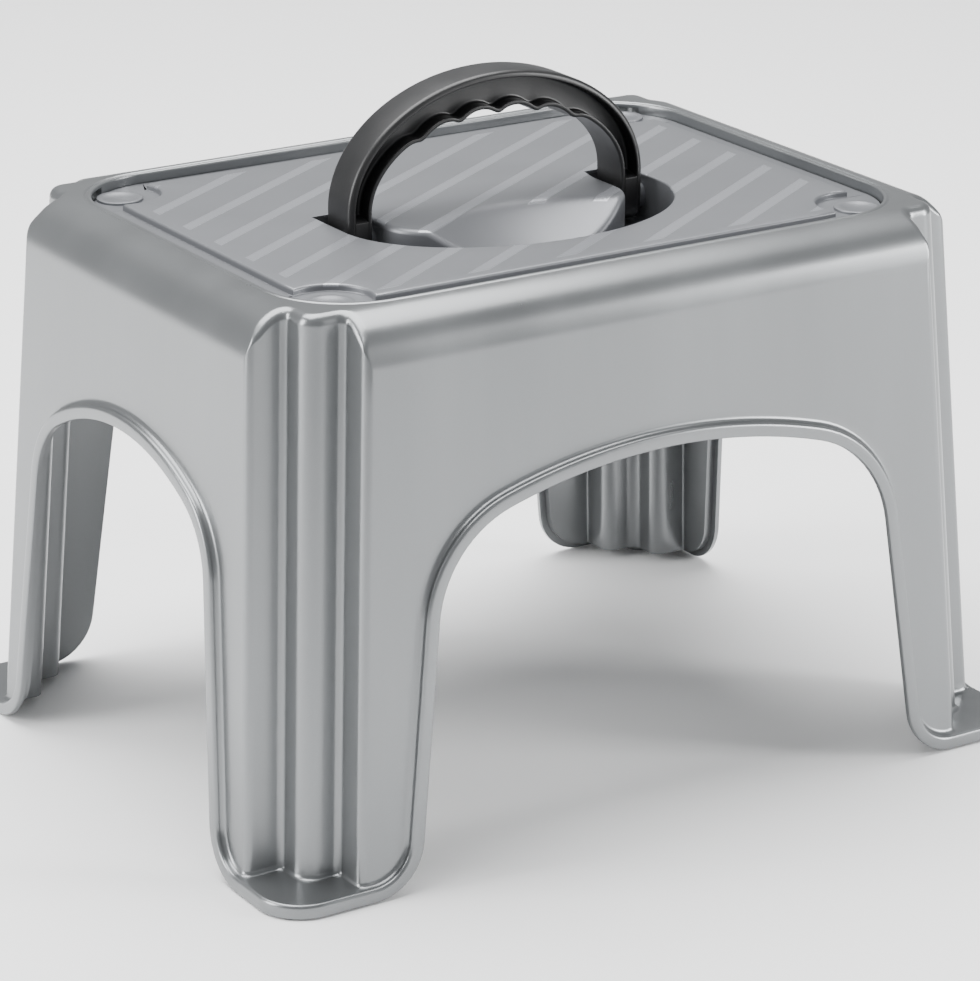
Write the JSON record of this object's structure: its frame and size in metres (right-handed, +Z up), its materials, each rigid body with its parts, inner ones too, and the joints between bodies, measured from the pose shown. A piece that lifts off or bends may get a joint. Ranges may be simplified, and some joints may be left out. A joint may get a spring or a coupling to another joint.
{
  "type": "step stool",
  "caption": "Moulded step stool with hollow notched legs, arched sides, a snap-in tread panel and a folding carrying handle.",
  "frame": {"origin": "on the floor, under the middle of the stool", "axes": "+X along the stool's length, +Y towards the back, +Z up; the handle folds towards -Y"},
  "size_m": [0.382, 0.302, 0.296],
  "materials": {
    "silver_shell": "glossy, metallic silver-grey moulded plastic",
    "silver_tread": "satin silver-grey with smoother diagonal stripes",
    "black_handle": "satin black moulded plastic",
    "pin_steel": "plain drawn pin",
    "pad_rubber": "matt anti-slip rubber"
  },
  "bodies": {
    "stool": {"shell": "silver_shell", "tread_panel": "silver_tread", "hinge_pin_left": "pin_steel", "hinge_pin_right": "pin_steel", "foot_pad_front_left": "pad_rubber", "foot_pad_front_right": "pad_rubber", "foot_pad_rear_left": "pad_rubber", "foot_pad_rear_right": "pad_rubber"},
    "handle": {"handle": "black_handle"}
  },
  "joints": [
    {"name": "handle_fold", "type": "hinge", "parent": "stool", "child": "handle", "pos_m": [0, 0, 0.2285], "axis": [1, 0, 0], "range_deg": [-10, 90]}
  ]
}
